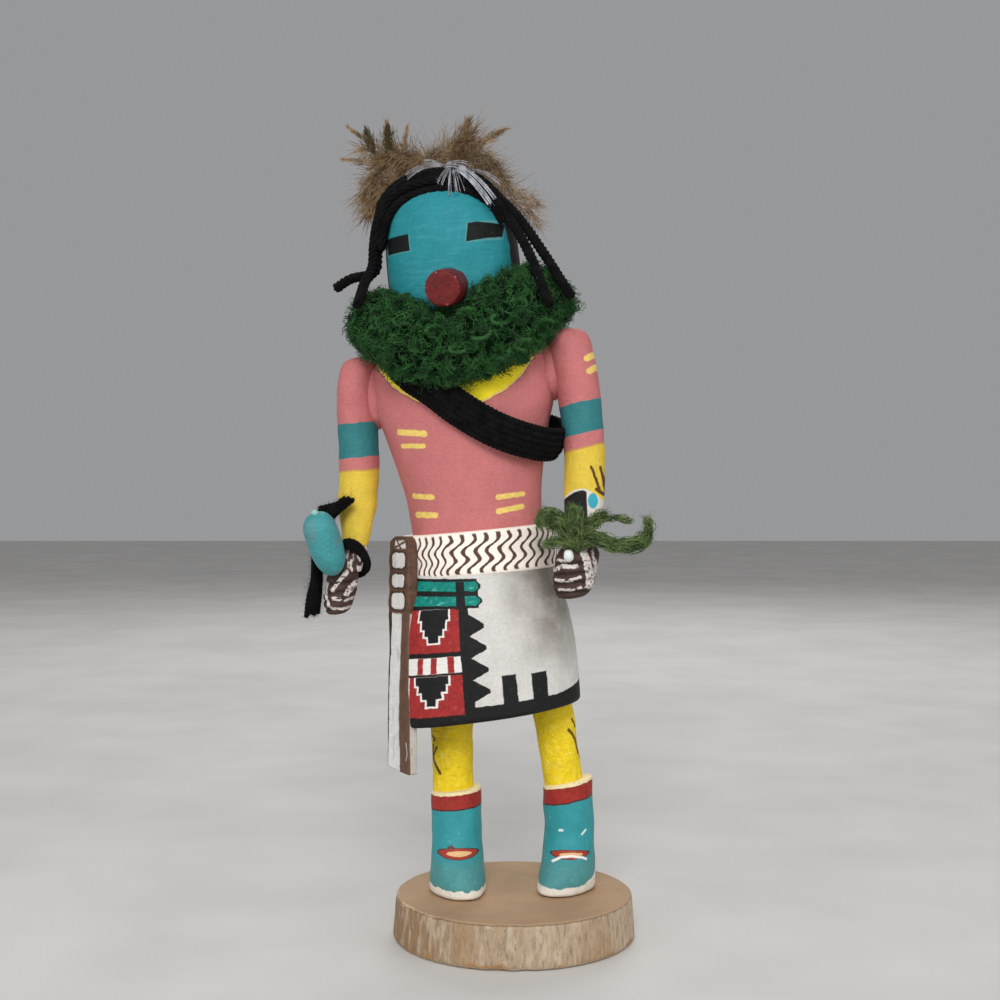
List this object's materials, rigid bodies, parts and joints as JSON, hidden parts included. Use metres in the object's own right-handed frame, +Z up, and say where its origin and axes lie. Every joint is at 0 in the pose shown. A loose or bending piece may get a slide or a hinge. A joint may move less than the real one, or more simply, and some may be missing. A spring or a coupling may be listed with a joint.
{
  "type": "kachina doll",
  "caption": "Carved and painted standing doll with yarn ruff and hair, feather crest, rattle and sprig, on a round wooden base.",
  "frame": {"origin": "centre of the base's flat underside", "axes": "+Z up; the doll faces -Y; its right hand, with the rattle, is towards -X"},
  "size_m": [0.1063, 0.076, 0.2561],
  "materials": {
    "bare_wood": "bare, sawn and sanded, with a paler worn rim",
    "painted_wood": "matte paint in pink, turquoise, yellow, white, black and red",
    "sash_paint": "matte white paint with brown strokes",
    "red_paint": "satin red paint, worn at the rim",
    "turquoise_paint": "matte turquoise paint",
    "black_yarn": "plied yarn",
    "green_yarn": "unravelled, curly yarn",
    "brown_feather": "downy feather",
    "pale_feather": "thin stripped feather"
  },
  "bodies": {
    "root": {"base": "bare_wood", "figure": "painted_wood", "sash": "sash_paint", "snout": "red_paint", "rattle": "turquoise_paint", "hair": "black_yarn", "bandolier": "black_yarn", "wristband": "black_yarn", "hand_tassel": "black_yarn", "ruff": "green_yarn", "sprig": "green_yarn", "crest_feathers": "brown_feather", "white_feather": "pale_feather"}
  },
  "joints": []
}
